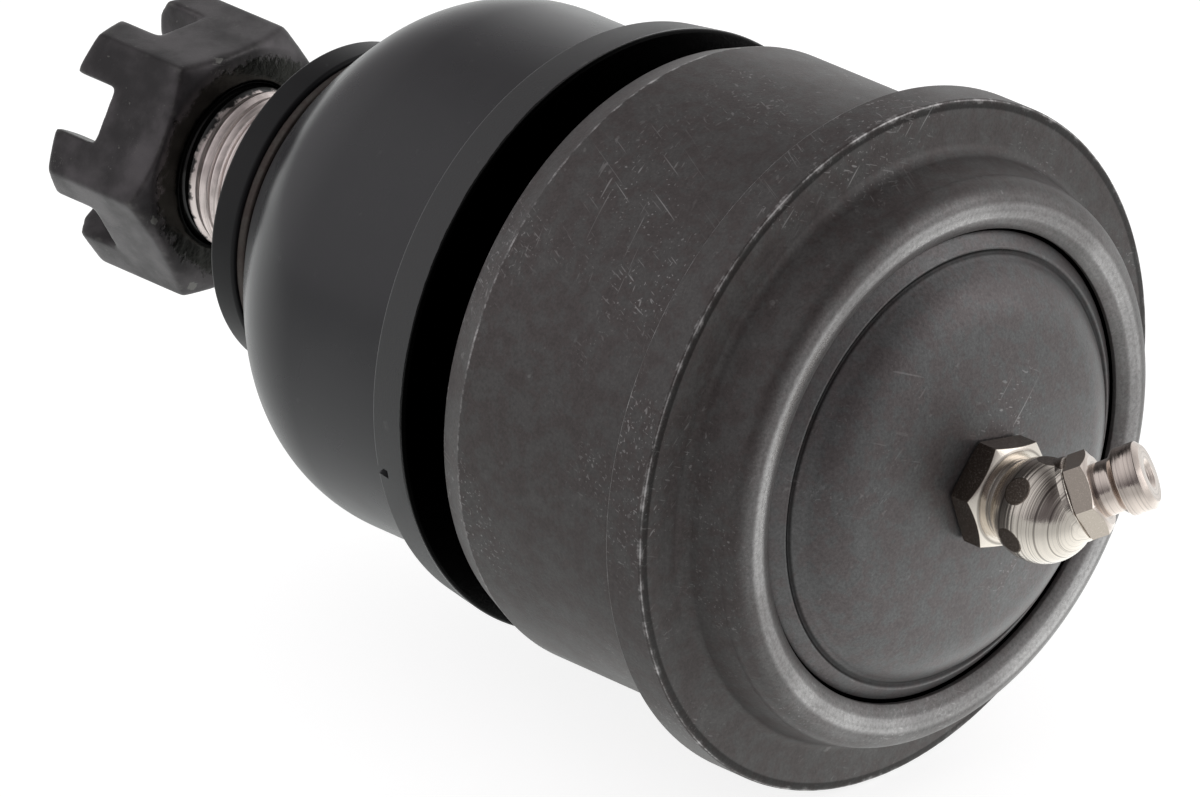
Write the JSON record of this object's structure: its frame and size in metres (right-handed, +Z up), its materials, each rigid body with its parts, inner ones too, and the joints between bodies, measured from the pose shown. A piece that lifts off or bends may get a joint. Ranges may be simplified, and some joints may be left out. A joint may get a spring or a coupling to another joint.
{
  "type": "suspension ball joint",
  "caption": "Press-in suspension ball joint: flanged press-fit housing with domed greasable cover, domed dust boot, tapered ball stud and slotted nut.",
  "frame": {"origin": "centre of the ball, on the joint's axis and within the span of the press-fit body", "axes": "+X along the joint's axis, from the stud end towards the cover and grease fitting; +Z up with the joint lying on its side; +Y across"},
  "size_m": [0.1281, 0.0666, 0.0666],
  "materials": {
    "phosphated_steel": "dark manganese phosphate, oiled, lightly scuffed",
    "cover_steel": "dark phosphate with light scuffs",
    "nut_steel": "black oxide with worn edges",
    "bearing_steel": "ground and greased",
    "spring_steel": "tempered",
    "stud_steel": "turned and rolled thread, bright",
    "plated_fitting": "bright nickel plating with turning lines",
    "boot_rubber": "smooth satin black rubber",
    "ring_rubber": "grainy moulded rubber"
  },
  "bodies": {
    "housing": {"housing": "phosphated_steel", "cover_plate": "cover_steel", "upper_bearing": "bearing_steel", "preload_spring": "spring_steel", "fitting_body": "plated_fitting", "grease_nipple": "plated_fitting", "check_spring": "spring_steel", "boot_base_ring": "ring_rubber", "boot_insert_band": "spring_steel"},
    "seat": {"ball_seat": "bearing_steel", "dust_boot": "boot_rubber"},
    "collar": {"boot_collar": "ring_rubber", "neck_ring": "phosphated_steel"},
    "stud": {"ball_stud": "stud_steel", "slotted_nut": "nut_steel"},
    "check_ball": {"check_ball": "bearing_steel"}
  },
  "joints": [
    {"name": "seat_turn", "type": "hinge", "parent": "housing", "child": "seat", "pos_m": [0, 0, 0], "axis": [1, 0, 0], "continuous": true},
    {"name": "stud_tilt", "type": "hinge", "parent": "seat", "child": "collar", "pos_m": [0, 0, 0], "axis": [0, 1, 0], "range_deg": [-20, 20], "deforming": ["dust_boot"]},
    {"name": "stud_spin", "type": "hinge", "parent": "collar", "child": "stud", "pos_m": [0, 0, 0], "axis": [1, 0, 0], "continuous": true},
    {"name": "check_ball_slide", "type": "slide", "parent": "housing", "child": "check_ball", "axis": [-0.7071, -0.5827, -0.4005], "range_m": [0, 0.0008], "stiffness_N_per_m": 400, "springref_m": -0.0005, "deforming": ["check_spring"]}
  ]
}
